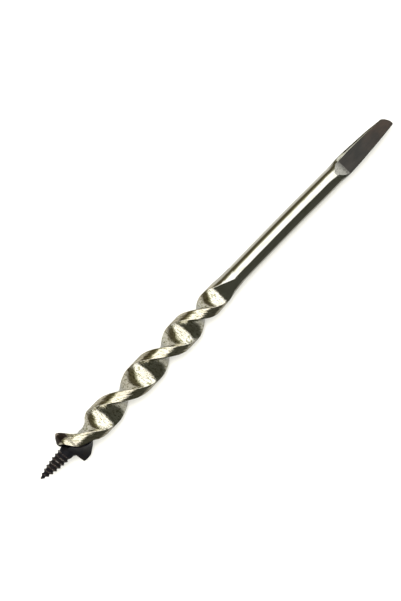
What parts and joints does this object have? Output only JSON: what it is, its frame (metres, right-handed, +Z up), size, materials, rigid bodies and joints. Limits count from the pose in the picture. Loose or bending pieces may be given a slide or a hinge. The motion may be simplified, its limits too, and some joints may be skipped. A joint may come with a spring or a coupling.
{
  "type": "screw-point auger bit",
  "caption": "Wood-type auger bit: tapered lead screw, winged side cutter, solid bar twisted to the right with a turned-up lip, round shank and flat tapered tang.",
  "frame": {"origin": "middle of the underside of the bit's box, as it lies on the outside of its twist", "axes": "+X along the bit from the lead screw to the tang, +Z up, square to the tang's broad face; the turned-up lip is on the +Y side"},
  "size_m": [0.3748, 0.0302, 0.0276],
  "materials": {
    "black_steel": "blackened forged steel, worn on the crests",
    "bright_steel": "ground bright with hammer marks, olive-brown in the hollows",
    "shank_steel": "drawn along its length, bright",
    "dark_steel": "dark grey forge finish, satin",
    "pin_steel": "ground flush"
  },
  "bodies": {
    "root": {"lead_screw": "black_steel", "side_cutter": "black_steel", "twist_bar": "bright_steel", "shank": "shank_steel", "tang": "dark_steel", "head_pin": "pin_steel", "shank_pin": "pin_steel", "tang_pin": "pin_steel"}
  },
  "joints": []
}
